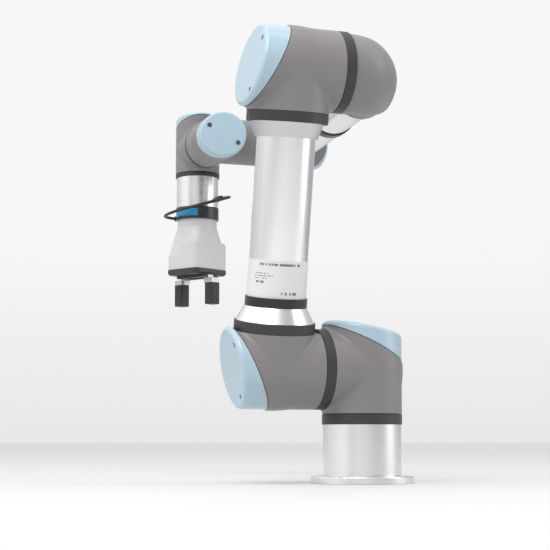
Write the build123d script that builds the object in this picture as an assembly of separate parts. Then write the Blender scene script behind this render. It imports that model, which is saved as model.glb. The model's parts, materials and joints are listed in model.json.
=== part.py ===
from build123d import *
import os
from math import cos, radians, sin, tan

# Collaborative robot arm with a two-finger electric gripper.
# Millimetres, +Z up, origin at the centre of the base's underside, joint 1 along Z.
# The forearm reaches along +Y and the upper arm stands on the -X side.

# Kinematic layout
JOINT_2_HEIGHT = 162.5
SHOULDER_OFFSET = 138.0
UPPER_ARM_LENGTH = 425.0
UPPER_ARM_LEAN = 11.0
FOREARM_PLANE = -6.5
FOREARM_LENGTH = 392.2
FOREARM_DROP = 3.5
WRIST_1_PLANE = -133.3
WRIST_2_REACH = 99.7
TOOL_REACH = 99.6

# Joint modules
LARGE_RADIUS = 58.0
SMALL_RADIUS = 37.5
JOINT_GAP = 0.6
LARGE_RING_WIDTH = 15.0
SMALL_RING_WIDTH = 7.0
SHOULDER_BARREL = 63.4
LOWER_BARREL = 61.9
ELBOW_BARREL = 62.9
WRIST_BARREL = 39.9
BARREL_WALL = 7.0
SEAT_WALL = 11.0
SEAT_DEPTH = 26.0
PORT_WALL = 7.0
SHOULDER_PORT = 60.5
WRIST_1_PORT = 79.3
WRIST_2_PORT = 52.2
LIP = 1.0
RIM_CHAMFER = 0.8
CABLE_BORE = 8.0

# Sloping end caps, as shares of the module radius
CAP_EDGE_NEAR = 1.09
CAP_EDGE_FAR = 0.14
CAP_FACE_NEAR = 1.235
CAP_FACE_FAR = 0.85
SMALL_CAP_LIFT = 0.45
CAP_ROUND = 0.1
CAP_RIM = 16.0
CAP_ROOF = 4.0
SEAL_THICK = 1.2
SEAL_INSET = 0.6
SCREW_HEAD_RADIUS = 3.6
SCREW_HEAD_HEIGHT = 2.6
SCREW_SINK = 4.0
SCREW_SHANK_RADIUS = 2.0
SCREW_SHANK_LENGTH = 3.0
SCREW_KEY_RADIUS = 1.6
SCREW_KEY_DEPTH = 1.6
SCREW_CLEARANCE = 0.4
LARGE_SCREW_X = 36.0
LARGE_SCREW_Y = 29.0
SMALL_SCREW_X = 23.0
SMALL_SCREW_Y = 14.0

# Drives and bearings
HUB_SHARE = 0.5
HUB_LENGTH = 12.0
BEARING_CLEARANCE = 0.05
DRIVE_FIT = 0.5
STATOR_INSET = 12.0
ENCODER_INSET = 18.0
STATOR_END = 5.0
ENCODER_SHARE = 0.55

# Base
BASE_FLANGE_RADIUS = 74.5
BASE_FLANGE_THICK = 10.0
BASE_RADIUS = 56.5
BASE_HEIGHT = 83.5
BASE_BORE = 49.0
BASE_FLOOR = 5.0
COVER_THICK = 2.0
COVER_LEDGE = 5.0
BOLT_CIRCLE = 132.0
BOLT_HOLE_RADIUS = 4.25
BOLT_COUNT = 4
BOLT_FACE_RADIUS = 8.0
BOLT_FACE_DEPTH = 1.5
SOCKET_HEIGHT = 42.0
SOCKET_RADIUS = 14.0
SOCKET_BOSS_RADIUS = 18.0
SOCKET_SEAT = 58.0
SOCKET_COLLAR_THICK = 4.0
SOCKET_START = 50.0
SOCKET_END = 68.0
SOCKET_CAP_RADIUS = 16.0
SOCKET_CAP_THICK = 8.0

# Upper arm tube, measured from the joint 2 axis
LOWER_PORT = 53.5
UPPER_PORT = 61.5
TUBE_RING_WIDTH = 15.0
TUBE_RING_INNER = 44.0
CONE_LENGTH = 21.0
LOWER_CONE_WIDE = 55.5
UPPER_CONE_WIDE = 51.5
CONE_NARROW = 44.5
TUBE_RADIUS = 41.6
TUBE_WALL = 4.0
BAND_RADIUS = 44.4
BAND_LENGTH = 13.5
SLEEVE_RADIUS = 42.2
SLEEVE_LENGTH = 53.0
SLIP = 0.05

# Forearm, measured from the elbow axis
DOME_PORT_RADIUS = 45.5
DOME_PORT = 64.0
DOME_BARREL = 53.0
DOME_ROUND_ACROSS = 97.6
DOME_ROUND_ALONG = 118.5
DOME_ROUND_UP = 76.0
DOME_ROUND_CENTRE = 60.0
DOME_WALL = 7.0
DOME_SEAM = 4.0
FORE_CONE_LENGTH = 24.0
FORE_CONE_WIDE = 44.6
FORE_CONE_NARROW = 40.5
FORE_TUBE_RADIUS = 38.0
FORE_BAND_START = 180.0
FORE_BAND_RADIUS = 40.0
FORE_COLLAR_LENGTH = 9.0
FORE_COLLAR_RADIUS = 38.6
WRIST_END_PORT = 60.0

# Tool flange
FLANGE_RADIUS = 35.5
FLANGE_BORE = 20.0
FLANGE_GROOVE_DEPTH = 1.0
FLANGE_GROOVE_WIDTH = 1.6
FLANGE_GROOVE_OFFSET = 9.0
BOSS_RADIUS = 6.0
BOSS_REACH = 40.0
BOSS_ROOT = 28.0

# Gripper, measured down from the tool flange face
STROKE_AXIS_ANGLE = -61.0
COUPLING_RADIUS = 36.5
COUPLING_HEIGHT = 20.6
COUPLING_BORE = 12.0
LIGHT_DEPTH = 2.4
LIGHT_HEIGHT = 12.0
LIGHT_START = 176.0
LIGHT_SWEEP = 100.0
BODY_NECK_RADIUS = 33.5
BODY_SHOULDER = 60.0
FLARE_END = 84.0
BODY_BOTTOM = 107.0
BODY_LENGTH = 72.0
BODY_WIDTH = 76.0
BODY_CORNER = 9.0
BODY_EDGE = 3.0
NECK_END = 34.0
CAVITY_LENGTH = 66.4
CAVITY_WIDTH = 40.0
CAVITY_HEIGHT = 34.0
PLATE_LENGTH = 74.0
PLATE_WIDTH = 78.0
PLATE_HEIGHT = 9.0
RAIL_WIDTH = 32.0
RAIL_DROP = 4.0
SLOT_LENGTH = 66.4
SLOT_WIDTH = 13.0
CARRIAGE_LENGTH = 10.0
CARRIAGE_WIDTH = 12.0
CARRIAGE_SPREAD = 28.0
CARRIAGE_HEAD_WIDTH = 20.0
CARRIAGE_HEAD_HEIGHT = 8.0
CARRIAGE_LIFT = 0.4
FOOT_TOP = 122.0
FINGER_SPREAD = 36.5
FINGER_THICK = 18.0
FINGER_WIDTH = 20.0
FINGER_TOP = 130.0
FINGER_HEIGHT = 36.5
FINGER_CORNER = 3.0
SCREW_SPINDLE_RADIUS = 4.0
MOTOR_RADIUS = 15.0
MOTOR_HEIGHT = 22.0
MOTOR_TOP = 36.0

# Gripper lead
CABLE_RADIUS = 2.5
CABLE_VIEW_ANGLE = -20.6
CABLE_RING = 57.5
PLUG_ANGLE = 128.0
PLUG_REACH = 50.5
PLUG_RADIUS = 6.5
PLUG_ARM = 45.0
PLUG_BARREL_RADIUS = 4.5
PLUG_BARREL_LENGTH = 16.0
CABLE_LEAD_OUT = 20.0
CABLE_TURNS = (200.1, 235.0, 270.0, 305.0, 339.9)
CABLE_DROP = (12.8, 12.8, 13.8, 10.8, 3.8, -5.7, -16.2, -23.2, -23.2)
CABLE_SHARE = 0.45

LEAN = radians(UPPER_ARM_LEAN)
TUBE_DIR = Vector(0, -sin(LEAN), cos(LEAN))
SHOULDER = Vector(0, 0, JOINT_2_HEIGHT)
UPPER_START = Vector(-SHOULDER_OFFSET, 0, JOINT_2_HEIGHT)
UPPER_END = UPPER_START + TUBE_DIR * UPPER_ARM_LENGTH
ELBOW = Vector(FOREARM_PLANE, UPPER_END.Y, UPPER_END.Z)
DROP = radians(FOREARM_DROP)
FORE_DIR = Vector(0, cos(DROP), -sin(DROP))
FORE_END = ELBOW + FORE_DIR * FOREARM_LENGTH
WRIST_1 = Vector(WRIST_1_PLANE, FORE_END.Y, FORE_END.Z)
WRIST_2 = WRIST_1 + Vector(0, WRIST_2_REACH, 0)
TOOL_FACE = WRIST_2 - Vector(0, 0, TOOL_REACH)

SHOULDER_FRAME = Plane(origin=SHOULDER, x_dir=(-1, 0, 0), z_dir=(0, 0, -1))
LOWER_FRAME = Plane(origin=UPPER_START, x_dir=TUBE_DIR, z_dir=(1, 0, 0))
ELBOW_FRAME = Plane(origin=UPPER_END, x_dir=-TUBE_DIR, z_dir=(1, 0, 0))
WRIST_END_FRAME = Plane(origin=FORE_END, x_dir=-FORE_DIR, z_dir=(-1, 0, 0))
WRIST_1_FRAME = Plane(origin=WRIST_1, x_dir=(1, 0, 0), z_dir=(0, 1, 0))
WRIST_2_FRAME = Plane(origin=WRIST_2, x_dir=(0, -1, 0), z_dir=(0, 0, -1))
TUBE_FRAME = Plane(origin=UPPER_START, x_dir=(1, 0, 0), z_dir=TUBE_DIR)
SOCKET_FRAME = Plane(origin=(0, 0, SOCKET_HEIGHT), x_dir=(1, 0, 0), z_dir=(0, 1, 0))
FORE_FRAME = Plane(origin=ELBOW, x_dir=(1, 0, 0), z_dir=FORE_DIR)
STROKE = radians(STROKE_AXIS_ANGLE)
GRIPPER_FRAME = Plane(origin=TOOL_FACE, x_dir=(cos(STROKE), sin(STROKE), 0), z_dir=(0, 0, 1))
CABLE_TURN = radians(CABLE_VIEW_ANGLE)
CABLE_FRAME = Plane(origin=TOOL_FACE, x_dir=(cos(CABLE_TURN), sin(CABLE_TURN), 0), z_dir=(0, 0, 1))


def disc(radius, start, end):
    """Cylinder about the local z axis between two heights."""
    return Pos(0, 0, start) * Cylinder(radius, end - start, align=(Align.CENTER, Align.CENTER, Align.MIN))


def tube(outer, inner, start, end):
    return disc(outer, start, end) - disc(inner, start, end)


def taper(wide, narrow, start, end):
    return Pos(0, 0, start) * Cone(wide, narrow, end - start, align=(Align.CENTER, Align.CENTER, Align.MIN))


def along_x(radius, start, end):
    """Cylinder about the local x axis between two distances."""
    return Rot(0, 90, 0) * disc(radius, start, end)


def block(length, width, top, bottom):
    """Box about the local z axis, its heights measured down from the origin."""
    solid = Box(length, width, bottom - top, align=(Align.CENTER, Align.CENTER, Align.MIN))
    return Pos(0, 0, -bottom) * solid


def cap_lift(radius):
    """The small modules stand taller above their port, by a share of the radius."""
    return SMALL_CAP_LIFT if radius == SMALL_RADIUS else 0


def slope(radius, near, far):
    """Sloping plane across a barrel: near on the port side, far on the outer side."""
    rise = radius * (far - near)
    return Plane(
        origin=(0, 0, -radius * ((near + far) / 2 + cap_lift(radius))),
        x_dir=(2 * radius, 0, rise),
        z_dir=(-rise, 0, 2 * radius),
    )


def below(shape, plane):
    return split(shape, bisect_by=plane, keep=Keep.BOTTOM)


def above(shape, plane):
    return split(shape, bisect_by=plane, keep=Keep.TOP)


def seat_height(barrel):
    return barrel - SEAT_DEPTH


def housing(radius, barrel, port):
    """Elbow casting: barrel along z, side port along +x, sloping open end below."""
    deep = -2 * radius
    edge = slope(radius, CAP_EDGE_NEAR, CAP_EDGE_FAR)
    shell = disc(radius, deep, barrel) + along_x(radius, 0, port)
    shell = above(shell, edge)
    shell = below(shell, Plane(origin=(port, 0, 0), z_dir=(1, 0, 0)))
    lip = shell.faces().sort_by(Axis.Z)[-1].edges()
    shell = chamfer(lip, LIP)
    shell -= disc(radius - SEAT_WALL, deep, barrel)
    shell -= disc(radius - BARREL_WALL, seat_height(barrel), barrel)
    return shell - along_x(radius - PORT_WALL, 0, port)


def cap_slice(radius, shift):
    """Solid between the cap's edge plane, lowered by shift, and its outer face."""
    body = disc(radius, -2 * radius, radius)
    body = below(body, slope(radius, CAP_EDGE_NEAR, CAP_EDGE_FAR).offset(-shift))
    return above(body, slope(radius, CAP_FACE_NEAR, CAP_FACE_FAR))


def face_height(radius, x):
    middle = (CAP_FACE_NEAR + CAP_FACE_FAR) / 2 + cap_lift(radius)
    return -radius * middle - x * (CAP_FACE_NEAR - CAP_FACE_FAR) / 2


def screw_spots(radius, side):
    """Screw centres: both on one side of a large cap, on opposite corners of a small one."""
    if radius == LARGE_RADIUS:
        return [(x, side * LARGE_SCREW_Y) for x in (-LARGE_SCREW_X, LARGE_SCREW_X)]
    return [(-SMALL_SCREW_X, -SMALL_SCREW_Y), (SMALL_SCREW_X, SMALL_SCREW_Y)]


def cap(radius, side=-1):
    """Sloping end cap with a rounded face, a hollow middle and sunk screw holes."""
    lid = cap_slice(radius, SEAL_THICK)
    lid = fillet(lid.faces().sort_by(Axis.Z)[0].edges(), CAP_ROUND * radius)
    roof = slope(radius, CAP_FACE_NEAR, CAP_FACE_FAR).offset(CAP_ROOF)
    lid -= above(disc(radius - CAP_RIM, -2 * radius, radius), roof)
    for x, y in screw_spots(radius, side):
        top = face_height(radius, x)
        lid -= Pos(x, y, 0) * disc(SCREW_HEAD_RADIUS + SCREW_CLEARANCE, top - CAP_ROOF, top + SCREW_SINK)
        hole_end = top + SCREW_SINK + SCREW_SHANK_LENGTH + SCREW_CLEARANCE
        lid -= Pos(x, y, 0) * disc(SCREW_SHANK_RADIUS + SCREW_CLEARANCE, top, hole_end)
    return lid


def cap_seal(radius):
    """Thin dark gasket between a housing and its cap."""
    edge = slope(radius, CAP_EDGE_NEAR, CAP_EDGE_FAR)
    ring = tube(radius - SEAL_INSET, radius - SEAT_WALL, -2 * radius, radius)
    return above(below(ring, edge), edge.offset(-SEAL_THICK))


def cap_screw():
    """Socket-head screw standing on z = 0, its head below."""
    head = disc(SCREW_HEAD_RADIUS, -SCREW_HEAD_HEIGHT, 0)
    key = extrude(RegularPolygon(SCREW_KEY_RADIUS, 6), SCREW_KEY_DEPTH)
    head -= Pos(0, 0, -SCREW_HEAD_HEIGHT) * key
    return head + disc(SCREW_SHANK_RADIUS, 0, SCREW_SHANK_LENGTH)


def cap_screws(radius, side=-1):
    screw = cap_screw()
    return [Pos(x, y, face_height(radius, x) + SCREW_SINK) * screw for x, y in screw_spots(radius, side)]


def drive(radius, barrel):
    """Sealed joint drive: gear flange with the output bearing, motor, brake and encoder, hollow shaft."""
    seat = seat_height(barrel)
    top = barrel - HUB_LENGTH / 4
    unit = disc(radius - BARREL_WALL - DRIVE_FIT, seat, top)
    unit += disc(radius - STATOR_INSET, -STATOR_END, seat)
    unit += disc(radius - ENCODER_INSET, -ENCODER_SHARE * radius, -STATOR_END)
    unit -= disc(radius * HUB_SHARE + BEARING_CLEARANCE, barrel - HUB_LENGTH - LIP, top)
    return unit - disc(CABLE_BORE, -radius, barrel)


def rim(radius, start, end):
    """Disc with both edges broken."""
    return chamfer(disc(radius, start, end).edges().filter_by(GeomType.CIRCLE), RIM_CHAMFER)


def output_ring(radius, barrel, width):
    """Dark output flange: a visible rim and a hub that runs in the drive's bearing."""
    start = barrel + JOINT_GAP
    flange = rim(radius, start, start + width) + disc(radius * HUB_SHARE, barrel - HUB_LENGTH, start)
    return flange - disc(CABLE_BORE, barrel - HUB_LENGTH, start + width)


def base_housing():
    """Silver base casting: bolt flange and upright body, hollow, with an opening for the socket."""
    body = disc(BASE_FLANGE_RADIUS, 0, BASE_FLANGE_THICK) + disc(BASE_RADIUS, 0, BASE_HEIGHT)
    flange_edges = body.edges().filter_by(GeomType.CIRCLE).sort_by(lambda e: -e.radius)[:2]
    body = fillet(flange_edges.sort_by(Axis.Z)[-1], BOLT_FACE_DEPTH)
    for spot in PolarLocations(BOLT_CIRCLE / 2, BOLT_COUNT, start_angle=45):
        body -= spot * disc(BOLT_HOLE_RADIUS, 0, BASE_FLANGE_THICK)
        body -= spot * disc(BOLT_FACE_RADIUS, BASE_FLANGE_THICK - BOLT_FACE_DEPTH, BASE_FLANGE_THICK) \
            - disc(BASE_RADIUS, 0, BASE_HEIGHT)
    body += SOCKET_FRAME.location * disc(SOCKET_BOSS_RADIUS, BASE_BORE, SOCKET_SEAT)
    body -= disc(BASE_BORE, BASE_FLOOR, BASE_HEIGHT)
    body -= disc(BASE_BORE - LIP, 0, COVER_THICK) + disc(BASE_BORE - COVER_LEDGE, 0, BASE_FLOOR)
    return body - SOCKET_FRAME.location * disc(SOCKET_RADIUS, 0, SOCKET_SEAT)


def base_cable_socket():
    """Round panel connector on the back of the base, closed by its dust cap."""
    plug_body = disc(SOCKET_RADIUS - SCREW_CLEARANCE, SOCKET_START, SOCKET_END)
    plug_body += rim(SOCKET_BOSS_RADIUS, SOCKET_SEAT, SOCKET_SEAT + SOCKET_COLLAR_THICK)
    return plug_body + rim(SOCKET_CAP_RADIUS, SOCKET_END, SOCKET_END + SOCKET_CAP_THICK)


def base_bottom_cover():
    return disc(BASE_BORE - LIP - SCREW_CLEARANCE, 0, COVER_THICK)


def upper_tube_start():
    return LOWER_PORT + TUBE_RING_WIDTH + CONE_LENGTH


def upper_tube_end():
    return UPPER_ARM_LENGTH - UPPER_PORT - TUBE_RING_WIDTH - CONE_LENGTH


def tube_rings():
    """Two dark clamp rings, one at each end of the upper arm tube."""
    ends = (LOWER_PORT + TUBE_RING_WIDTH, UPPER_ARM_LENGTH - UPPER_PORT)
    return [rim(LARGE_RADIUS, end - TUBE_RING_WIDTH, end) - disc(TUBE_RING_INNER, 0, end) for end in ends]


def cone(wide, narrow, start, end, bore):
    return taper(wide, narrow, start, end) - disc(bore, start, end)


def tube_cones():
    """Two aluminium cones that join the clamp rings to the tube."""
    bore = TUBE_RADIUS - TUBE_WALL
    low = cone(LOWER_CONE_WIDE, CONE_NARROW, LOWER_PORT + TUBE_RING_WIDTH, upper_tube_start(), bore)
    end = upper_tube_end()
    return [low, cone(CONE_NARROW, UPPER_CONE_WIDE, end, end + CONE_LENGTH, bore)]


def dome_block(inset):
    """Barrel and tube port of the forearm's elbow casting, its outer corner rounded by an ellipsoid."""
    block_out = along_x(LARGE_RADIUS - inset, -DOME_BARREL, LARGE_RADIUS)
    block_out += disc(DOME_PORT_RADIUS - inset, -LARGE_RADIUS, DOME_PORT)
    ball = scale(
        Sphere(1), by=(DOME_ROUND_ACROSS - inset, DOME_ROUND_UP - inset, DOME_ROUND_ALONG - inset))
    return block_out & Pos(-DOME_BARREL, 0, DOME_ROUND_CENTRE) * ball


def forearm_dome():
    """Rounded hollow casting in the forearm frame: joint 3 side along -x, tube port along +z."""
    return dome_block(0) - dome_block(DOME_WALL)


def forearm_tube_end():
    return FOREARM_LENGTH - WRIST_END_PORT - FORE_COLLAR_LENGTH


def tool_flange():
    """Machined tool flange below joint 6 with a groove and a connector boss, in the cable frame."""
    top = TOOL_REACH - WRIST_BARREL - JOINT_GAP - SMALL_RING_WIDTH
    body = tube(FLANGE_RADIUS, FLANGE_BORE, 0, top)
    groove = tube(FLANGE_RADIUS, FLANGE_RADIUS - FLANGE_GROOVE_DEPTH, 0, FLANGE_GROOVE_WIDTH)
    body -= Pos(0, 0, FLANGE_GROOVE_OFFSET) * groove
    return body + boss(180 - PLUG_ANGLE, CABLE_DROP[-1])


def boss(angle, drop):
    """Round connector boss, radial in the cable frame."""
    return Pos(0, 0, -drop) * Rot(0, 0, angle) * along_x(BOSS_RADIUS, BOSS_ROOT, BOSS_REACH)


def light_cut(outer, inner):
    ring = tube(outer, inner, -LIGHT_HEIGHT / 2, LIGHT_HEIGHT / 2)
    wedge = extrude(
        make_face(Polyline((0, 0), *[arm_point(2 * outer, a) for a in light_angles()], close=True)),
        LIGHT_HEIGHT / 2, both=True)
    return Pos(0, 0, -COUPLING_HEIGHT / 2) * (ring & wedge)


def light_angles():
    return [LIGHT_START + LIGHT_SWEEP * step / 2 for step in range(3)]


def arm_point(reach, angle):
    return (reach * cos(radians(angle)), reach * sin(radians(angle)))


def gripper_coupling():
    """Dark quick-change ring with a window for the status light and a lead connector."""
    ring = tube(COUPLING_RADIUS, COUPLING_BORE, -COUPLING_HEIGHT, 0)
    ring -= light_cut(COUPLING_RADIUS, COUPLING_RADIUS - LIGHT_DEPTH)
    return ring + boss(PLUG_ANGLE, CABLE_DROP[0])


def gripper_light():
    return light_cut(COUPLING_RADIUS, COUPLING_RADIUS - LIGHT_DEPTH + SLIP)


def gripper_body():
    """Light housing: a round neck flares into a rectangular body, squarer on one side, hollow below."""
    round_end = RectangleRounded(2 * BODY_NECK_RADIUS, 2 * BODY_NECK_RADIUS, BODY_NECK_RADIUS - SLIP)
    outline = RectangleRounded(BODY_LENGTH, BODY_WIDTH, BODY_CORNER)
    body = extrude(Pos(0, 0, -NECK_END) * round_end, NECK_END - COUPLING_HEIGHT)
    body += loft([Pos(0, 0, -FLARE_END) * outline, Pos(0, 0, -NECK_END) * round_end], ruled=True)
    body += extrude(Pos(0, 0, -BODY_BOTTOM) * outline, BODY_BOTTOM - FLARE_END)
    square = extrude(Pos(0, 0, -FLARE_END) * outline, FLARE_END - BODY_SHOULDER)
    square = chamfer(square.faces().sort_by(Axis.Z)[-1].edges(), BODY_EDGE)
    body += square & Pos(BODY_LENGTH / 2, 0, 0) * block(BODY_LENGTH, BODY_WIDTH, BODY_SHOULDER, FLARE_END)
    body -= block(CAVITY_LENGTH, CAVITY_WIDTH, BODY_BOTTOM - CAVITY_HEIGHT, BODY_BOTTOM)
    return body - disc(MOTOR_RADIUS + LIP, -BODY_BOTTOM + CAVITY_HEIGHT - LIP, -MOTOR_TOP)


def gripper_motor():
    """Motor and spindle nut inside the body, seated on the roof of its pocket."""
    motor = disc(MOTOR_RADIUS, -MOTOR_TOP - MOTOR_HEIGHT, -MOTOR_TOP)
    spindle_end = -BODY_BOTTOM + 2 * CARRIAGE_HEAD_HEIGHT
    return motor + disc(SCREW_SPINDLE_RADIUS, spindle_end, -MOTOR_TOP - MOTOR_HEIGHT)


def gripper_base_plate():
    """Dark bottom plate with a raised rail and a slot for each carriage."""
    rim = Pos(0, 0, -BODY_BOTTOM - PLATE_HEIGHT) * extrude(
        RectangleRounded(PLATE_LENGTH, PLATE_WIDTH, BODY_CORNER + LIP), PLATE_HEIGHT)
    rim = chamfer(rim.faces().sort_by(Axis.Z)[0].edges(), RAIL_DROP - LIP)
    rail_bottom = BODY_BOTTOM + PLATE_HEIGHT + RAIL_DROP
    rail = block(PLATE_LENGTH - 2 * RAIL_DROP, RAIL_WIDTH, BODY_BOTTOM, rail_bottom)
    return rim + rail - block(SLOT_LENGTH, SLOT_WIDTH, BODY_BOTTOM, rail_bottom)


def carriage(side):
    """Sliding block: a head above the bottom plate, a neck through its slot and a foot on the finger."""
    seat = BODY_BOTTOM - CARRIAGE_LIFT
    head = block(CARRIAGE_LENGTH, CARRIAGE_HEAD_WIDTH, seat - CARRIAGE_HEAD_HEIGHT, seat)
    neck = block(CARRIAGE_LENGTH, CARRIAGE_WIDTH, seat, FINGER_TOP)
    foot = block(FINGER_THICK - 2 * LIP, FINGER_WIDTH - 2 * LIP, FOOT_TOP, FINGER_TOP)
    return Pos(side * CARRIAGE_SPREAD, 0, 0) * (head + neck) + Pos(side * FINGER_SPREAD, 0, 0) * foot


def finger(side):
    """Dark finger block."""
    shape = block(FINGER_THICK, FINGER_WIDTH, FINGER_TOP, FINGER_TOP + FINGER_HEIGHT)
    shape = fillet(shape.edges().filter_by(Axis.Z), FINGER_CORNER)
    shape = chamfer(shape.faces().sort_by(Axis.Z)[0].edges(), LIP)
    return Pos(side * FINGER_SPREAD, 0, 0) * shape


def plug(angle, drop, turn):
    """Right-angle plug: radial body on its boss and a barrel along the lead, turn +1 or -1."""
    body = along_x(PLUG_RADIUS, BOSS_REACH, PLUG_REACH)
    barrel = Pos(PLUG_ARM, 0, 0) * Rot(-90 * turn, 0, 0) * disc(PLUG_BARREL_RADIUS, 0, PLUG_BARREL_LENGTH)
    return Pos(0, 0, -drop) * Rot(0, 0, angle) * (body + barrel)


def cable_plugs():
    return [plug(PLUG_ANGLE, CABLE_DROP[0], 1), plug(180 - PLUG_ANGLE, CABLE_DROP[-1], -1)]


def cable_points():
    """Control points of the lead, in the cable frame."""
    along = Vector(*arm_point(1, PLUG_ANGLE + 90))
    first = Vector(*arm_point(PLUG_ARM, PLUG_ANGLE)) + along * PLUG_BARREL_LENGTH
    second = first + along * CABLE_LEAD_OUT
    ring = [Vector(*arm_point(CABLE_RING, angle)) for angle in CABLE_TURNS]
    plan = [first, second] + ring + [Vector(-second.X, second.Y), Vector(-first.X, first.Y)]
    return [Vector(p.X, p.Y, -drop) for p, drop in zip(plan, CABLE_DROP)]


def bend_radii(points):
    radii = []
    for before, here, after in zip(points, points[1:], points[2:]):
        half_turn = radians((here - before).get_angle(after - here)) / 2
        shorter = min((here - before).length, (after - here).length)
        radii.append(CABLE_SHARE * shorter / tan(half_turn))
    return radii


def gripper_cable():
    """Lead from the coupling round the front to the tool flange connector."""
    points = cable_points()
    radii = bend_radii(points)
    print("lead bend radii", [round(radius, 1) for radius in radii])
    path = FilletPolyline(*points, radius=radii)
    print("lead length", round(path.length, 1))
    return sweep(Plane(origin=path @ 0, z_dir=path % 0) * Circle(CABLE_RADIUS), path=path)


def save(name, shape, frame=None):
    """Write one named piece, placed by its frame; a list is kept as separate solids."""
    solids = shape if isinstance(shape, list) else [shape]
    place = frame.location if frame else Location()
    placed = [solid for item in solids for solid in (place * item).solids()]
    export_step(placed[0] if len(placed) == 1 else Compound(children=placed), f"parts/{name}.step")


os.makedirs("parts", exist_ok=True)

save("base_housing", base_housing())
save("base_bottom_cover", base_bottom_cover())
save("base_cable_socket", base_cable_socket(), SOCKET_FRAME)

save("shoulder_housing", housing(LARGE_RADIUS, SHOULDER_BARREL, SHOULDER_PORT), SHOULDER_FRAME)
save("lower_housing", housing(LARGE_RADIUS, LOWER_BARREL, LOWER_PORT), LOWER_FRAME)
save("elbow_housing", housing(LARGE_RADIUS, ELBOW_BARREL, UPPER_PORT), ELBOW_FRAME)
save("wrist_end_housing", housing(SMALL_RADIUS, WRIST_BARREL, WRIST_END_PORT), WRIST_END_FRAME)
save("wrist_1_housing", housing(SMALL_RADIUS, WRIST_BARREL, WRIST_1_PORT), WRIST_1_FRAME)
save("wrist_2_housing", housing(SMALL_RADIUS, WRIST_BARREL, WRIST_2_PORT), WRIST_2_FRAME)

save("shoulder_cap", cap(LARGE_RADIUS), SHOULDER_FRAME)
save("lower_cap", cap(LARGE_RADIUS, 1), LOWER_FRAME)
save("elbow_cap", cap(LARGE_RADIUS), ELBOW_FRAME)
save("wrist_end_cap", cap(SMALL_RADIUS), WRIST_END_FRAME)
save("wrist_1_cap", cap(SMALL_RADIUS), WRIST_1_FRAME)
save("wrist_2_cap", cap(SMALL_RADIUS), WRIST_2_FRAME)

save("shoulder_cap_seal", cap_seal(LARGE_RADIUS), SHOULDER_FRAME)
save("upper_arm_cap_seals", [frame.location * cap_seal(LARGE_RADIUS) for frame in (LOWER_FRAME, ELBOW_FRAME)])
save("wrist_end_cap_seal", cap_seal(SMALL_RADIUS), WRIST_END_FRAME)
save("wrist_1_cap_seal", cap_seal(SMALL_RADIUS), WRIST_1_FRAME)
save("wrist_2_cap_seal", cap_seal(SMALL_RADIUS), WRIST_2_FRAME)

save("shoulder_cap_screws", cap_screws(LARGE_RADIUS), SHOULDER_FRAME)
save("upper_arm_cap_screws",
     [frame.location * screw for frame, side in ((LOWER_FRAME, 1), (ELBOW_FRAME, -1))
      for screw in cap_screws(LARGE_RADIUS, side)])
save("wrist_end_cap_screws", cap_screws(SMALL_RADIUS), WRIST_END_FRAME)
save("wrist_1_cap_screws", cap_screws(SMALL_RADIUS), WRIST_1_FRAME)
save("wrist_2_cap_screws", cap_screws(SMALL_RADIUS), WRIST_2_FRAME)

save("joint_1_drive", drive(LARGE_RADIUS, SHOULDER_BARREL), SHOULDER_FRAME)
save("joint_2_drive", drive(LARGE_RADIUS, LOWER_BARREL), LOWER_FRAME)
save("joint_3_drive", drive(LARGE_RADIUS, ELBOW_BARREL), ELBOW_FRAME)
save("joint_4_drive", drive(SMALL_RADIUS, WRIST_BARREL), WRIST_END_FRAME)
save("joint_5_drive", drive(SMALL_RADIUS, WRIST_BARREL), WRIST_1_FRAME)
save("joint_6_drive", drive(SMALL_RADIUS, WRIST_BARREL), WRIST_2_FRAME)

save("joint_1_ring", output_ring(LARGE_RADIUS, SHOULDER_BARREL, LARGE_RING_WIDTH), SHOULDER_FRAME)
save("joint_2_ring", output_ring(LARGE_RADIUS, LOWER_BARREL, LARGE_RING_WIDTH), LOWER_FRAME)
save("joint_3_ring", output_ring(LARGE_RADIUS, ELBOW_BARREL, LARGE_RING_WIDTH), ELBOW_FRAME)
save("joint_4_ring", output_ring(SMALL_RADIUS, WRIST_BARREL, SMALL_RING_WIDTH), WRIST_END_FRAME)
save("joint_5_ring", output_ring(SMALL_RADIUS, WRIST_BARREL, SMALL_RING_WIDTH), WRIST_1_FRAME)
save("joint_6_ring", output_ring(SMALL_RADIUS, WRIST_BARREL, SMALL_RING_WIDTH), WRIST_2_FRAME)

sleeve_start = upper_tube_start() + BAND_LENGTH
save("arm_tube_rings", tube_rings(), TUBE_FRAME)
save("arm_tube_cones", tube_cones(), TUBE_FRAME)
save("arm_tube", tube(TUBE_RADIUS, TUBE_RADIUS - TUBE_WALL, upper_tube_start(), upper_tube_end()), TUBE_FRAME)
save("arm_tube_band", tube(BAND_RADIUS, TUBE_RADIUS + SLIP, upper_tube_start(), sleeve_start), TUBE_FRAME)
save("arm_label_sleeve",
     tube(SLEEVE_RADIUS, TUBE_RADIUS + SLIP, sleeve_start, sleeve_start + SLEEVE_LENGTH), TUBE_FRAME)

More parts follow.
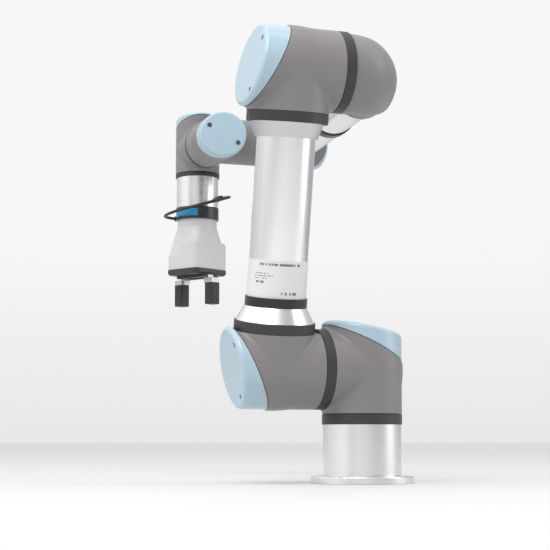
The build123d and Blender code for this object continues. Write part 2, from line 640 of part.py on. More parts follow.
fore_cone_start = DOME_PORT + DOME_SEAM
fore_tube_start = fore_cone_start + FORE_CONE_LENGTH
fore_bore = FORE_TUBE_RADIUS - TUBE_WALL
save("forearm_dome", forearm_dome(), FORE_FRAME)
save("forearm_seam_ring", tube(FORE_CONE_WIDE, fore_bore, DOME_PORT, fore_cone_start), FORE_FRAME)
save("forearm_cone",
     cone(FORE_CONE_WIDE, FORE_CONE_NARROW, fore_cone_start, fore_tube_start, fore_bore), FORE_FRAME)
save("forearm_tube", tube(FORE_TUBE_RADIUS, fore_bore, fore_tube_start, forearm_tube_end()), FORE_FRAME)
save("forearm_band",
     tube(FORE_BAND_RADIUS, FORE_TUBE_RADIUS, FORE_BAND_START, FORE_BAND_START + BAND_LENGTH), FORE_FRAME)
save("forearm_collar",
     tube(FORE_COLLAR_RADIUS, fore_bore, forearm_tube_end(), FOREARM_LENGTH - WRIST_END_PORT), FORE_FRAME)

save("tool_flange", tool_flange(), CABLE_FRAME)
save("gripper_coupling", gripper_coupling(), CABLE_FRAME)
save("gripper_light", gripper_light(), CABLE_FRAME)
save("gripper_body", gripper_body(), GRIPPER_FRAME)
save("gripper_motor", gripper_motor(), GRIPPER_FRAME)
save("gripper_base_plate", gripper_base_plate(), GRIPPER_FRAME)
save("carriage_left", carriage(-1), GRIPPER_FRAME)
save("carriage_right", carriage(1), GRIPPER_FRAME)
save("finger_left", finger(-1), GRIPPER_FRAME)
save("finger_right", finger(1), GRIPPER_FRAME)
save("cable_plugs", cable_plugs(), CABLE_FRAME)
save("gripper_cable", gripper_cable(), CABLE_FRAME)
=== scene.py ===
import json
from math import cos, pi, radians, sin

import bmesh
import bpy
import numpy as np
from mathutils import Matrix, Vector

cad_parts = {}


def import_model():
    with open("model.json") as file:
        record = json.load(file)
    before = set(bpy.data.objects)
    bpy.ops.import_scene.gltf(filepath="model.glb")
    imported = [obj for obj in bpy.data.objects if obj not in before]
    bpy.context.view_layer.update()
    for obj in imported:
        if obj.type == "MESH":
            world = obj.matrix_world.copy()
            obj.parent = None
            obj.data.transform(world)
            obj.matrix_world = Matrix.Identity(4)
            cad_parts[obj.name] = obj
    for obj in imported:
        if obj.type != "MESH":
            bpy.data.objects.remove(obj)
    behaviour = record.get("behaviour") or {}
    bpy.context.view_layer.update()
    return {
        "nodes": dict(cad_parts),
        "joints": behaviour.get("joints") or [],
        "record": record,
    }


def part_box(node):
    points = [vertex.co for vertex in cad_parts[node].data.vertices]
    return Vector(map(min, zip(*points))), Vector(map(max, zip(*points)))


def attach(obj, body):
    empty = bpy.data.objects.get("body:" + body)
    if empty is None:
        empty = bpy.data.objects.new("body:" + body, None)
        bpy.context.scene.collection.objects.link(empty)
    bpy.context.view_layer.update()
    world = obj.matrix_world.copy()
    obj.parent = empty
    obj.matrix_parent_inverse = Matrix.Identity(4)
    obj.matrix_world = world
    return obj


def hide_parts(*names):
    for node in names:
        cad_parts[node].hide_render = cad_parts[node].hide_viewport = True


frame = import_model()

# Metres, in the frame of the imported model: +Z up, joint 1 on the Z axis.
NODES = frame["nodes"]
JOINTS = {joint["name"]: joint for joint in frame["joints"]}
BODIES = frame["record"]["behaviour"]["bodies"]
NODE_BODY = {node: body for body, nodes in BODIES.items() for node in nodes}


def joint_point(name):
    return Vector(JOINTS[name]["pos_m"])


SHOULDER, LOWER, UPPER = (joint_point(f"joint_{i}") for i in (1, 2, 3))
FORE_END, WRIST_1, WRIST_2 = (joint_point(f"joint_{i}") for i in (4, 5, 6))
ELBOW = Vector((FORE_END.x, UPPER.y, UPPER.z))
TUBE_DIR = (UPPER - LOWER).normalized()
FORE_DIR = (FORE_END - ELBOW).normalized()

# Joint modules, as in the CAD source
LARGE_RADIUS = 0.058
SMALL_RADIUS = 0.0375
SMALL_BARREL = 0.0399
CAP_EDGE_NEAR = 1.09
CAP_EDGE_FAR = 0.14
SMALL_CAP_LIFT = 0.45
LARGE_BLEND = 0.008
SMALL_BLEND = 0.008
LARGE_VOXEL = 0.0022
SMALL_VOXEL = 0.0016
DOME_PORT_RADIUS = 0.0455
DOME_PORT = 0.064
DOME_BARREL = 0.053
DOME_ROUND = (0.0976, 0.076, 0.1185)
DOME_ROUND_CENTRE = 0.060
DOME_BLEND = 0.012
DOME_SPARE = 0.03
DOME_OVERLAP = 0.02
DOME_ROUNDS = 30

# The photograph's viewpoint: level with the base, to the left of the arm's front
VIEW_TURN = radians(20.9)
VIEW_POINT = (-0.7913, -1.9158, 0.061)
AIM_POINT = (-0.085, 0.14, 0.314)
LENS = 93.0
FLOOR_HEIGHT = -0.0003
FLOOR_SIZE = 60
LIT_POINT = (-0.05, 0.1, 0.3)
KEY_POWER = 42
FILL_POWER = 14


# ---------------------------------------------------------------- node helpers

NOISE_ROUGHNESS = 0.55
SOFT_SAMPLES = 6
EDGE_SAMPLES = 4
# How far the rounded normal turns from the true one, from no wear to full wear
EDGE_RANGE = (0.10, 0.45)
WEAR_RADIUS = 0.0006
PRINT_EDGE = 0.0002

class Surface:
    """One procedural material, built node by node around a Principled shader."""

    def __init__(self, name, colour, roughness, metallic=0.0):
        self.material = bpy.data.materials.new(name)
        self.material.use_nodes = True
        self.tree = self.material.node_tree
        self.shader = self.tree.nodes["Principled BSDF"]
        self.shader.inputs["Base Color"].default_value = (*colour, 1)
        self.shader.inputs["Roughness"].default_value = roughness
        self.shader.inputs["Metallic"].default_value = metallic
        self.place = self.add("ShaderNodeTexCoord").outputs["Object"]
        self.height = None

    def add(self, kind, **settings):
        node = self.tree.nodes.new(kind)
        for key, value in settings.items():
            setattr(node, key, value)
        return node

    def join(self, source, target):
        self.tree.links.new(source, target)

    def stretched(self, scale):
        mapping = self.add("ShaderNodeMapping")
        mapping.inputs["Scale"].default_value = scale
        self.join(self.place, mapping.inputs["Vector"])
        return mapping.outputs["Vector"]

    def along(self, axis, origin=(0, 0, 0)):
        """Distance of the surface point from the origin, measured along an axis."""
        shift = self.add("ShaderNodeVectorMath", operation="SUBTRACT")
        shift.inputs[1].default_value = origin
        self.join(self.place, shift.inputs[0])
        dot = self.add("ShaderNodeVectorMath", operation="DOT_PRODUCT")
        dot.inputs[1].default_value = axis
        self.join(shift.outputs["Vector"], dot.inputs[0])
        return dot.outputs["Value"]

    def drawn(self, axis, share):
        """Coordinates squeezed along an axis, so that noise on them runs out into lines."""
        pull = self.add("ShaderNodeVectorMath", operation="SCALE")
        pull.inputs[0].default_value = axis
        self.join(self.maths("MULTIPLY", self.along(axis), share - 1), pull.inputs["Scale"])
        total = self.add("ShaderNodeVectorMath", operation="ADD")
        self.join(self.place, total.inputs[0])
        self.join(pull.outputs["Vector"], total.inputs[1])
        return total.outputs["Vector"]

    def within(self, value, low, high):
        """1 where the value lies between two limits, 0 outside them."""
        rise = self.spread(value, 0, 1, low - PRINT_EDGE, low + PRINT_EDGE)
        return self.maths("MULTIPLY", rise, self.spread(value, 1, 0, high - PRINT_EDGE, high + PRINT_EDGE))

    def rounded(self, radius, samples):
        """Normal of the surface as if its sharp edges were rounded."""
        bevel = self.add("ShaderNodeBevel", samples=samples)
        bevel.inputs["Radius"].default_value = radius
        return bevel.outputs["Normal"]

    def soften(self, radius):
        """Rounds the sharp edges in the shading."""
        self.height = self.rounded(radius, SOFT_SAMPLES)
        self.join(self.height, self.shader.inputs["Normal"])

    def noise(self, scale, detail, vector=None):
        noise = self.add("ShaderNodeTexNoise")
        noise.inputs["Scale"].default_value = scale
        noise.inputs["Detail"].default_value = detail
        noise.inputs["Roughness"].default_value = NOISE_ROUGHNESS
        self.join(vector or self.place, noise.inputs["Vector"])
        return noise.outputs["Fac"]

    def spread(self, value, low, high, start=0.3, end=0.7):
        """Maps a value between start and end to the range low to high."""
        mapped = self.add("ShaderNodeMapRange")
        limits = {"From Min": start, "From Max": end, "To Min": low, "To Max": high}
        for socket, number in limits.items():
            mapped.inputs[socket].default_value = number
        self.join(value, mapped.inputs["Value"])
        return mapped.outputs["Result"]

    def blend_colour(self, share, first, second):
        mix = self.add("ShaderNodeMix", data_type="RGBA")
        for socket, colour in ((6, first), (7, second)):
            if isinstance(colour, tuple):
                mix.inputs[socket].default_value = (*colour, 1)
            else:
                self.join(colour, mix.inputs[socket])
        self.join(share, mix.inputs[0])
        return mix.outputs[2]

    def maths(self, operation, first, second):
        node = self.add("ShaderNodeMath", operation=operation)
        for socket, value in ((0, first), (1, second)):
            if isinstance(value, (int, float)):
                node.inputs[socket].default_value = value
            else:
                self.join(value, node.inputs[socket])
        return node.outputs[0]

    def edges(self, radius):
        """1 along sharp edges, 0 on smooth surface."""
        rounded = self.rounded(radius, EDGE_SAMPLES)
        geometry = self.add("ShaderNodeNewGeometry")
        dot = self.add("ShaderNodeVectorMath", operation="DOT_PRODUCT")
        self.join(rounded, dot.inputs[0])
        self.join(geometry.outputs["Normal"], dot.inputs[1])
        off = self.maths("SUBTRACT", 1.0, dot.outputs["Value"])
        return self.spread(off, 0, 1, *EDGE_RANGE)

    def colour(self, source):
        self.join(source, self.shader.inputs["Base Color"])

    def roughness(self, source):
        self.join(source, self.shader.inputs["Roughness"])

    def bump(self, source, distance, strength=1.0):
        bump = self.add("ShaderNodeBump")
        bump.inputs["Distance"].default_value = distance
        bump.inputs["Strength"].default_value = strength
        self.join(source, bump.inputs["Height"])
        if self.height:
            self.join(self.height, bump.inputs["Normal"])
        self.height = bump.outputs["Normal"]
        self.join(self.height, self.shader.inputs["Normal"])


def worn(surface, colour, shade, wear):
    """Gives a surface slow colour drift between colour and shade, and wear along its edges."""
    drift = surface.spread(surface.noise(9.0, 4.0), 0, 1)
    body = surface.blend_colour(drift, colour, shade)
    speckle = surface.noise(420.0, 2.0)
    mask = surface.maths("MULTIPLY", surface.edges(WEAR_RADIUS), surface.spread(speckle, 0.1, 0.9))
    surface.colour(surface.blend_colour(mask, body, wear))


# ---------------------------------------------------------------- materials

# Shares of the metal's colour that are left where it is smudged, and where painted shade darkens the upper
# cone
SMUDGED = 0.96
PAINTED_SHADE_SHARE = 0.62
ALUMINIUM = (0.88, 0.88, 0.89)
CONE_ALUMINIUM = (0.93, 0.93, 0.94)
# Distance from the lower joint beyond which the cone's colour is painted darker as shade
CONE_PAINTED_SHADE_FROM = 0.30


def housing_grey():
    s = Surface("housing_grey", (0.210, 0.197, 0.200), 0.42)
    worn(s, (0.204, 0.192, 0.195), (0.220, 0.208, 0.211), (0.30, 0.29, 0.29))
    s.roughness(s.spread(s.noise(60.0, 4.0), 0.34, 0.46))
    s.bump(s.noise(900.0, 2.0), 0.00012, 0.5)
    s.bump(s.noise(35.0, 2.0), 0.0004, 0.15)
    return s.material


def cap_blue():
    s = Surface("cap_blue", (0.388, 0.521, 0.596), 0.30)
    worn(s, (0.380, 0.516, 0.592), (0.400, 0.530, 0.602), (0.52, 0.62, 0.67))
    s.roughness(s.spread(s.noise(80.0, 4.0), 0.24, 0.36))
    s.bump(s.noise(500.0, 2.0), 0.00003, 0.2)
    s.shader.inputs["Coat Weight"].default_value = 0.25
    s.shader.inputs["Coat Roughness"].default_value = 0.15
    return s.material


def darker(colour, share):
    return tuple(c * share for c in colour)


def polished(name, colour, low, high, axis, painted_shade_from=None):
    """Drawn aluminium with fine lines along the axis, and painted shade: a darker colour beyond a distance
    from the lower joint.
    """
    s = Surface(name, colour, (low + high) / 2, 1.0)
    lines = s.noise(1400.0, 2.0, s.drawn(axis, 0.01))
    smudge = s.noise(14.0, 5.0)
    s.roughness(s.maths("ADD", s.spread(lines, low, high), s.spread(smudge, -0.02, 0.04)))
    tint = s.blend_colour(s.spread(smudge, 0, 1), colour, darker(colour, SMUDGED))
    if painted_shade_from:
        # Painted shade: beyond this distance from the lower joint the colour darkens, standing in for the
        # shade on the upper cone.
        share = s.spread(s.along(axis, LOWER), 0, 1, painted_shade_from - 0.005, painted_shade_from)
        tint = s.blend_colour(share, tint, darker(colour, PAINTED_SHADE_SHARE))
    s.colour(tint)
    s.bump(lines, 0.00001, 0.25)
    return s.material


def turned(name, colour, low, high, step):
    """Lathe-turned metal with rings across its height."""
    s = Surface(name, colour, (low + high) / 2, 1.0)
    rings = s.noise(1.0 / step, 1.0, s.stretched((0.002, 0.002, 1)))
    smudge = s.noise(16.0, 5.0)
    s.roughness(s.maths("ADD", s.spread(rings, low, high), s.spread(smudge, -0.02, 0.04)))
    worn(s, colour, darker(colour, SMUDGED), tuple(min(1, c * 1.08) for c in colour))
    s.bump(rings, 0.000004, 0.2)
    return s.material


def dull_plastic(name, colour, roughness, grain, depth, wear=1.7):
    s = Surface(name, colour, roughness)
    worn(s, colour, tuple(c * 1.18 for c in colour), tuple(min(1, c * wear + 0.01) for c in colour))
    s.roughness(s.spread(s.noise(70.0, 4.0), roughness - 0.07, roughness + 0.07))
    s.bump(s.noise(grain, 2.0), depth, 0.5)
    return s.material


def gripper_white():
    s = Surface("gripper_white", (0.58, 0.58, 0.575), 0.40)
    s.soften(0.0025)
    worn(s, (0.58, 0.58, 0.575), (0.53, 0.53, 0.525), (0.66, 0.66, 0.655))
    s.roughness(s.spread(s.noise(70.0, 4.0), 0.33, 0.45))
    s.bump(s.noise(1000.0, 2.0), 0.00006, 0.4)
    return s.material


def light_blue():
    s = Surface("light_blue", (0.012, 0.13, 0.24), 0.22)
    cells = s.noise(240.0, 2.0)
    s.colour(s.blend_colour(s.spread(cells, 0, 1), (0.008, 0.11, 0.20), (0.018, 0.16, 0.28)))
    s.join(
        s.blend_colour(s.spread(s.noise(60.0, 2.0), 0, 1), (0.006, 0.16, 0.30), (0.020, 0.26, 0.48)),
        s.shader.inputs["Emission Color"])
    s.shader.inputs["Emission Strength"].default_value = 0.32
    s.bump(cells, 0.0001, 0.2)
    return s.material


# Printed marks on the sleeve: left, right, low and high limits of each row, and the width of its blocks
LABEL_RADIUS = 0.0422
LABEL_ROWS = (
    (-0.026, 0.036, 0.1487, 0.1520, 0.0019),
    (-0.034, -0.010, 0.1370, 0.1382, 0.0009),
    (-0.034, -0.004, 0.1335, 0.1347, 0.0009),
    (-0.034, -0.014, 0.1300, 0.1312, 0.0009),
    (-0.034, -0.018, 0.1240, 0.1270, 0.0022),
    (0.006, 0.034, 0.1085, 0.1125, 0.0022),
)


def label_print():
    """Pale sleeve with rows of grey blocks in place of its print."""
    s = Surface("label_white", (0.70, 0.70, 0.71), 0.38)
    up = s.along(TUBE_DIR, LOWER)
    front = Vector((0, TUBE_DIR.z, -TUBE_DIR.y))
    angle = s.maths("ARCTAN2", s.along((1, 0, 0), LOWER), s.maths("MULTIPLY", s.along(front, LOWER), -1))
    across = s.maths("MULTIPLY", s.maths("ADD", angle, VIEW_TURN), LABEL_RADIUS)
    ink = 0.0
    for left, right, low, high, block in LABEL_ROWS:
        spot = s.add("ShaderNodeCombineXYZ")
        s.join(across, spot.inputs["X"])
        spot.inputs["Y"].default_value = high
        letters = s.spread(s.noise(0.5 / block, 0.0, spot.outputs[0]), 0, 1, 0.44, 0.47)
        area = s.maths("MULTIPLY", s.within(across, left, right), s.within(up, low, high))
        ink = s.maths("ADD", s.maths("MULTIPLY", area, letters), ink)
    drift = s.blend_colour(s.spread(s.noise(20.0, 4.0), 0, 1), (0.72, 0.72, 0.73), (0.66, 0.66, 0.67))
    s.colour(s.blend_colour(ink, drift, (0.16, 0.16, 0.17)))
    s.roughness(s.spread(s.noise(70.0, 4.0), 0.30, 0.44))
    s.bump(s.noise(1200.0, 2.0), 0.00003, 0.4)
    s.bump(ink, 0.00003, 0.5)
    return s.material


MATERIALS = {
    "housing_grey": housing_grey(),
    "cap_blue": cap_blue(),
    "seal_black": dull_plastic("seal_black", (0.03, 0.03, 0.032), 0.65, 900.0, 0.0001),
    "screw_steel": turned("screw_steel", (0.22, 0.22, 0.23), 0.3, 0.45, 0.0006),
    "drive_metal": turned("drive_metal", (0.40, 0.40, 0.42), 0.3, 0.45, 0.002),
    "ring_charcoal": dull_plastic("ring_charcoal", (0.031, 0.029, 0.030), 0.48, 1100.0, 0.0001),
    "machined_aluminium": turned("machined_aluminium", ALUMINIUM, 0.23, 0.27, 0.0016),
    "tube_aluminium": polished("tube_aluminium", ALUMINIUM, 0.17, 0.24, TUBE_DIR),
    "band_black": dull_plastic("band_black", (0.010, 0.010, 0.011), 0.22, 1500.0, 0.00005),
    "label_white": label_print(),
    "cover_metal": turned("cover_metal", (0.60, 0.60, 0.61), 0.3, 0.4, 0.001),
    "socket_black": dull_plastic("socket_black", (0.025, 0.025, 0.027), 0.5, 900.0, 0.0001),
    "coupling_dark": dull_plastic("coupling_dark", (0.022, 0.024, 0.032), 0.30, 1200.0, 0.00006),
    "light_blue": light_blue(),
    "gripper_white": gripper_white(),
    "plate_dark": dull_plastic("plate_dark", (0.028, 0.028, 0.030), 0.42, 1000.0, 0.0001),
    "carriage_steel": turned("carriage_steel", (0.55, 0.55, 0.56), 0.25, 0.4, 0.0005),
    "finger_black": dull_plastic("finger_black", (0.018, 0.018, 0.020), 0.50, 700.0, 0.00015),
    "plug_black": dull_plastic("plug_black", (0.018, 0.018, 0.020), 0.45, 900.0, 0.0001),
    "cable_black": dull_plastic("cable_black", (0.014, 0.014, 0.016), 0.42, 1500.0, 0.00005),
}


NODE_SHARP = radians(32)
SKIN_SHARP = radians(40)


def dress(obj, slot):
    obj.data.materials.clear()
    obj.data.materials.append(MATERIALS[slot])


def smooth(obj, angle):
    """Smooth shading except across edges sharper than the angle."""
    obj.data.shade_smooth()
    obj.data.set_sharp_from_angle(angle=angle)


SLOT_OF = {part["node"]: part["material_slot"] for part in frame["record"]["subparts"]}
FOREARM_METAL = polished("tube_aluminium_forearm", ALUMINIUM, 0.17, 0.24, FORE_DIR)
# The cones' metal with painted shade: its colour darkens on the upper cone.
CONE_METAL_PAINTED_SHADE = polished("tube_aluminium_cones_painted_shade", CONE_ALUMINIUM, 0.17, 0.24, TUBE_DIR, CONE_PAINTED_SHADE_FROM)
for name, node in NODES.items():
    dress(node, SLOT_OF[name])
    smooth(node, NODE_SHARP)
    if name.startswith("forearm") and SLOT_OF[name] == "tube_aluminium":
        node.data.materials[0] = FOREARM_METAL
    elif name == "arm_tube_cones":
        node.data.materials[0] = CONE_METAL_PAINTED_SHADE


# ---------------------------------------------------------------- smooth castings

FIELD_STEP = 1e-5
FLATTEST_SLOPE = 0.2


def axes(origin, out, port):
    """Matrix of a module's own axes: z along out, x along port."""
    z, x = Vector(out).normalized(), Vector(port).normalized()
    y = z.cross(x)
    turn = Matrix((x, y, z)).transposed().to_4x4()
    return Matrix.Translation(Vector(origin)) @ turn


def add_cylinder(mesh, radius, start, end, turn=Matrix.Identity(4)):
    length = end - start
    place = turn @ Matrix.Translation((0, 0, (start + end) / 2))
    bmesh.ops.create_cone(
        mesh, cap_ends=True, segments=96, radius1=radius, radius2=radius, depth=length, matrix=place)


def voxel_skin(name, draft, voxel):
    """Even quad skin round the closed shapes in a bmesh draft."""
    data = bpy.data.meshes.new(name)
    draft.to_mesh(data)
    draft.free()
    obj = bpy.data.objects.new(name, data)
    bpy.context.scene.collection.objects.link(obj)
    remesh = obj.modifiers.new("skin", "REMESH")
    remesh.mode = "VOXEL"
    remesh.voxel_size = voxel
    skin = bpy.data.meshes.new_from_object(obj.evaluated_get(bpy.context.evaluated_depsgraph_get()))
    obj.modifiers.clear()
    obj.data = skin
    bpy.data.meshes.remove(data)
    return obj


def slope_along(field, points, axis):
    step = FIELD_STEP * axis
    return (field(points + step) - field(points - step)) / (2 * FIELD_STEP)


def settle(obj, field, rounds=12):
    """Moves each vertex along the field's slope until it lies on the field's zero surface."""
    count = len(obj.data.vertices)
    points = np.empty(count * 3)
    obj.data.vertices.foreach_get("co", points)
    points = points.reshape(-1, 3)
    for _ in range(rounds):
        value = field(points)
        slope = np.stack([slope_along(field, points, axis) for axis in np.eye(3)], 1)
        length = np.maximum((slope ** 2).sum(1), FLATTEST_SLOPE)
        points = points - slope * (value / length)[:, None]
    obj.data.vertices.foreach_set("co", points.ravel())
    obj.data.update()


def soft_union(first, second, width):
    """Smaller of two distances, with a rounded inner corner of the given width."""
    overlap = np.maximum(width - np.abs(first - second), 0)
    safe = np.maximum(width, 1e-9)
    return np.minimum(first, second) - overlap ** 2 / (4 * safe)


def elbow_field(radius, port_radius, blend):
    """Distance to an elbow of two round barrels, blended only where they cross at an angle."""
    def field(p):
        x, y, z = p.T
        barrel = np.hypot(x, y)
        side = np.sqrt(y ** 2 + z ** 2 + np.minimum(x, 0) ** 2)
        facing = y ** 2 / np.maximum(barrel * side, 1e-9)
        return soft_union(barrel - radius, side - port_radius, blend * np.clip(1 - facing, 0, 1))
    return field


def slice_off(obj, point, normal):
    """Cuts away what lies beyond the plane, and closes the cut."""
    mesh = bmesh.new()
    mesh.from_mesh(obj.data)
    geometry = mesh.verts[:] + mesh.edges[:] + mesh.faces[:]
    cut = bmesh.ops.bisect_plane(
        mesh, geom=geometry, dist=1e-7, plane_co=point, plane_no=normal, clear_outer=True)
    rim = [item for item in cut["geom_cut"] if isinstance(item, bmesh.types.BMEdge)]
    bmesh.ops.contextual_create(mesh, geom=rim)
    mesh.to_mesh(obj.data)
    mesh.free()


def slope_plane(radius):
    """Point and outward normal of the plane between a housing and its cap."""
    rise = radius * (CAP_EDGE_FAR - CAP_EDGE_NEAR)
    lift = SMALL_CAP_LIFT if radius == SMALL_RADIUS else 0
    middle = (CAP_EDGE_NEAR + CAP_EDGE_FAR) / 2 + lift
    return (0, 0, -radius * middle), Vector((rise, 0, -2 * radius)).normalized()


def casting(node, matrix, radius, barrel, port):
    """Smooth elbow housing in place of its CAD node."""
    large = radius == LARGE_RADIUS
    draft = bmesh.new()
    add_cylinder(draft, radius, -2 * radius, barrel + radius)
    add_cylinder(draft, radius, 0, port + radius, Matrix.Rotation(pi / 2, 4, "Y"))
    obj = voxel_skin(node + "_skin", draft, LARGE_VOXEL if large else SMALL_VOXEL)
    settle(obj, elbow_field(radius, radius, LARGE_BLEND if large else SMALL_BLEND))
    slice_off(obj, (0, 0, barrel), (0, 0, 1))
    slice_off(obj, (port, 0, 0), (1, 0, 0))
    slice_off(obj, *slope_plane(radius))
    finish_skin(obj, node, matrix)


def finish_skin(obj, node, matrix):
    obj.data.transform(matrix)
    smooth(obj, SKIN_SHARP)
    dress(obj, SLOT_OF[node])
    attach(obj, NODE_BODY[node])
    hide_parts(node)


# Each casting's node, centre, ways of its barrel and port, radius, and the lengths of barrel and port
CASTINGS = (
    ("shoulder_housing", SHOULDER, (0, 0, -1), (-1, 0, 0), LARGE_RADIUS, 0.0634, 0.0605),
    ("lower_housing", LOWER, (1, 0, 0), TUBE_DIR, LARGE_RADIUS, 0.0619, 0.0535),
    ("elbow_housing", UPPER, (1, 0, 0), -TUBE_DIR, LARGE_RADIUS, 0.0629, 0.0615),
    ("wrist_end_housing", FORE_END, (-1, 0, 0), -FORE_DIR, SMALL_RADIUS, SMALL_BARREL, 0.060),
    ("wrist_1_housing", WRIST_1, (0, 1, 0), (1, 0, 0), SMALL_RADIUS, SMALL_BARREL, 0.0793),
    ("wrist_2_housing", WRIST_2, (0, 0, -1), (0, -1, 0), SMALL_RADIUS, SMALL_BARREL, 0.0522),
)
for node, origin, out, port_way, radius, barrel, port in CASTINGS:
    casting(node, axes(origin, out, port_way), radius, barrel, port)


def dome_field(p):
    """Elbow of the forearm casting with its outer corner rounded by an ellipsoid."""
    x, y, z = p.T
    barrel = np.sqrt(y ** 2 + z ** 2)
    side = np.sqrt(x ** 2 + y ** 2 + np.minimum(z, 0) ** 2)
    facing = y ** 2 / np.maximum(barrel * side, 1e-9)
    elbow = soft_union(barrel - LARGE_RADIUS, side - DOME_PORT_RADIUS, DOME_BLEND * np.clip(1 - facing, 0, 1))
    rx, ry, rz = DOME_ROUND
    u, w = x + DOME_BARREL, z - DOME_ROUND_CENTRE
    share = np.sqrt((u / rx) ** 2 + (y / ry) ** 2 + (w / rz) ** 2)
    slope = np.sqrt((u / rx ** 2) ** 2 + (y / ry ** 2) ** 2 + (w / rz ** 2) ** 2)
    ball = (share - 1) * share / np.maximum(slope, 1e-6)
    return -soft_union(-elbow, -ball, DOME_BLEND)


def dome():
    draft = bmesh.new()
    add_cylinder(draft, LARGE_RADIUS, -DOME_BARREL - DOME_SPARE, DOME_SPARE, Matrix.Rotation(pi / 2, 4, "Y"))
    add_cylinder(draft, DOME_PORT_RADIUS, -DOME_OVERLAP, DOME_PORT + DOME_SPARE)
    obj = voxel_skin("forearm_dome_skin", draft, LARGE_VOXEL)
    settle(obj, dome_field, DOME_ROUNDS)
    slice_off(obj, (0, 0, DOME_PORT), (0, 0, 1))
    slice_off(obj, (-DOME_BARREL, 0, 0), (-1, 0, 0))
    finish_skin(obj, "forearm_dome", axes(ELBOW, FORE_DIR, (1, 0, 0)))


dome()


# ---------------------------------------------------------------- gripper lead

CABLE_RADIUS = 0.0025
LEAD_TURN = radians(-20.6)
# Control points of the lead: reach from the tool axis, angle round it in degrees, height above the tool face
LEAD_POINTS = (
    (0.0478, 147.6, -0.0128),
    (0.0576, 166.7, -0.0128),
    (0.0575, 200.1, -0.0138),
    (0.0575, 235.0, -0.0108),
    (0.0575, 270.0, -0.0038),
    (0.0575, 305.0, 0.0057),
    (0.0575, 339.9, 0.0162),
    (0.0576, 373.3, 0.0232),
    (0.0478, 392.4, 0.0232),
)


def lead_point(reach, angle, rise):
    """Point round the tool axis, in the view's own right and depth directions, above the tool face."""
    face = Vector((WRIST_2.x, WRIST_2.y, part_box("tool_flange")[0].z))
    a = radians(angle) + LEAD_TURN
    return face + Vector((reach * cos(a), reach * sin(a), rise))


def lead():
    points = [lead_point(*spot) for spot in LEAD_POINTS]
    data = bpy.data.curves.new("gripper_lead", "CURVE")
    data.dimensions = "3D"
    data.bevel_depth = CABLE_RADIUS
    data.bevel_resolution = 6
    data.resolution_u = 24
    spline = data.splines.new("NURBS")
    spline.points.add(len(points) - 1)
    for target, point in zip(spline.points, points):
        target.co = (*point, 1)
    spline.order_u = 3
    spline.use_endpoint_u = True
    obj = bpy.data.objects.new("gripper_lead", data)
    bpy.context.scene.collection.objects.link(obj)
    obj.data.materials.append(MATERIALS["cable_black"])
    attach(obj, "tool")
    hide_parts("gripper_cable")


lead()


# ---------------------------------------------------------------- studio

def plain(name, colour, roughness):
    s = Surface(name, colour, roughness)
    s.roughness(s.spread(s.noise(14.0, 3.0), roughness - 0.05, roughness + 0.05))
    s.colour(s.blend_colour(s.spread(s.noise(6.0, 3.0), 0, 1), colour, tuple(c * 0.98 for c in colour)))
    return s.material


def floor():
    bpy.ops.mesh.primitive_plane_add(size=FLOOR_SIZE, location=(0, 0, FLOOR_HEIGHT))
    obj = bpy.context.object
    obj.name = "floor"
    obj.data.materials.append(plain("floor_pale", (0.66, 0.66, 0.66), 0.7))


def area_light(name, place, target, size, power):
    data = bpy.data.lights.new(name, "AREA")
    data.shape = "RECTANGLE"
    data.size, data.size_y = size
    data.energy = power
    obj = bpy.data.objects.new(name, data)
    bpy.context.scene.collection.objects.link(obj)
    obj.location = place
    obj.rotation_euler = (Vector(target) - Vector(place)).to_track_quat("-Z", "Y").to_euler()


# Brightness of the room by height, from straight down (0) to straight up (1), and the backdrop's
HEIGHT_STOPS = ((0.0, (0.10, 0.10, 0.10)), (0.52, (0.62, 0.62, 0.63)), (1.0, (1.50, 1.50, 1.52)))
BACKDROP_STOPS = ((0.5, (0.80, 0.80, 0.805)), (0.57, (0.93, 0.93, 0.935)))
# Brightness round the room by direction in degrees, which gives the metal soft bands to reflect
BAND_STOPS = (
    (-180, 0.75), (-170, 0.88), (-158, 0.80), (-146, 1.00), (-136, 0.78), (-126, 0.72), (-118, 0.95),
    (-108, 1.40), (-80, 1.40), (-60, 1.15), (-20, 0.90), (22, 0.85), (60, 0.62), (90, 0.75), (98, 1.35),
    (114, 1.35), (124, 0.50), (150, 0.45), (172, 0.55), (180, 0.70),
)


def ramp(tree, source, stops, interpolation="LINEAR"):
    """Colour for a 0 to 1 value, between stops of position and colour in rising order."""
    node = tree.nodes.new("ShaderNodeValToRGB")
    elements = node.color_ramp.elements
    node.color_ramp.interpolation = interpolation
    elements[0].position, elements[1].position = stops[0][0], stops[-1][0]
    elements[0].color, elements[-1].color = (*stops[0][1], 1), (*stops[-1][1], 1)
    for position, colour in stops[1:-1]:
        elements.new(position).color = (*colour, 1)
    tree.links.new(source, node.inputs["Fac"])
    return node.outputs["Color"]


def unit_range(tree, source, low, high):
    """Maps low to high onto 0 to 1."""
    node = tree.nodes.new("ShaderNodeMapRange")
    node.inputs["From Min"].default_value = low
    node.inputs["From Max"].default_value = high
    tree.links.new(source, node.inputs["Value"])
    return node.outputs["Result"]


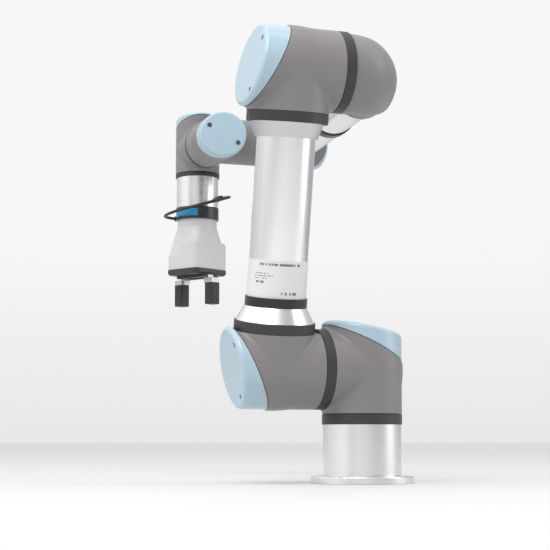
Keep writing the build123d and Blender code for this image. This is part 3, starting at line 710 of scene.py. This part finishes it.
def mixed(tree, first, second, blend="MIX"):
    """Colour mix node of two colours."""
    node = tree.nodes.new("ShaderNodeMix")
    node.data_type = "RGBA"
    node.blend_type = blend
    node.inputs[0].default_value = 1.0
    tree.links.new(first, node.inputs[6])
    tree.links.new(second, node.inputs[7])
    return node


def world():
    """White studio: pale backdrop, brighter overhead, with dark and light bands for metal to reflect."""
    studio = bpy.data.worlds.new("studio")
    bpy.context.scene.world = studio
    studio.use_nodes = True
    tree = studio.node_tree
    place = tree.nodes.new("ShaderNodeTexCoord")
    split = tree.nodes.new("ShaderNodeSeparateXYZ")
    tree.links.new(place.outputs["Generated"], split.inputs[0])
    rise = unit_range(tree, split.outputs["Z"], -1, 1)
    turn = tree.nodes.new("ShaderNodeMath")
    turn.operation = "ARCTAN2"
    tree.links.new(split.outputs["X"], turn.inputs[0])
    tree.links.new(split.outputs["Y"], turn.inputs[1])
    around = unit_range(tree, turn.outputs[0], -pi, pi)
    bands = [((angle + 180) / 360, (value, value, value)) for angle, value in BAND_STOPS]
    room = mixed(tree, ramp(tree, rise, HEIGHT_STOPS), ramp(tree, around, bands, "EASE"), "MULTIPLY")
    shown = mixed(tree, room.outputs[2], ramp(tree, rise, BACKDROP_STOPS))
    seen = tree.nodes.new("ShaderNodeLightPath")
    tree.links.new(seen.outputs["Is Camera Ray"], shown.inputs[0])
    background = tree.nodes["Background"]
    tree.links.new(shown.outputs[2], background.inputs["Color"])
    background.inputs["Strength"].default_value = 1.0


def camera():
    data = bpy.data.cameras.new("camera")
    data.lens = LENS
    obj = bpy.data.objects.new("camera", data)
    bpy.context.scene.collection.objects.link(obj)
    obj.location = VIEW_POINT
    obj.rotation_euler = (Vector(AIM_POINT) - Vector(VIEW_POINT)).to_track_quat("-Z", "Y").to_euler()
    bpy.context.scene.camera = obj


floor()
world()
camera()
area_light("key", (-1.2, -1.3, 2.6), LIT_POINT, (1.6, 1.6), KEY_POWER)
area_light("fill", (2.2, -1.0, 1.2), LIT_POINT, (1.4, 2.0), FILL_POWER)
bpy.context.scene.view_settings.view_transform = "Standard"
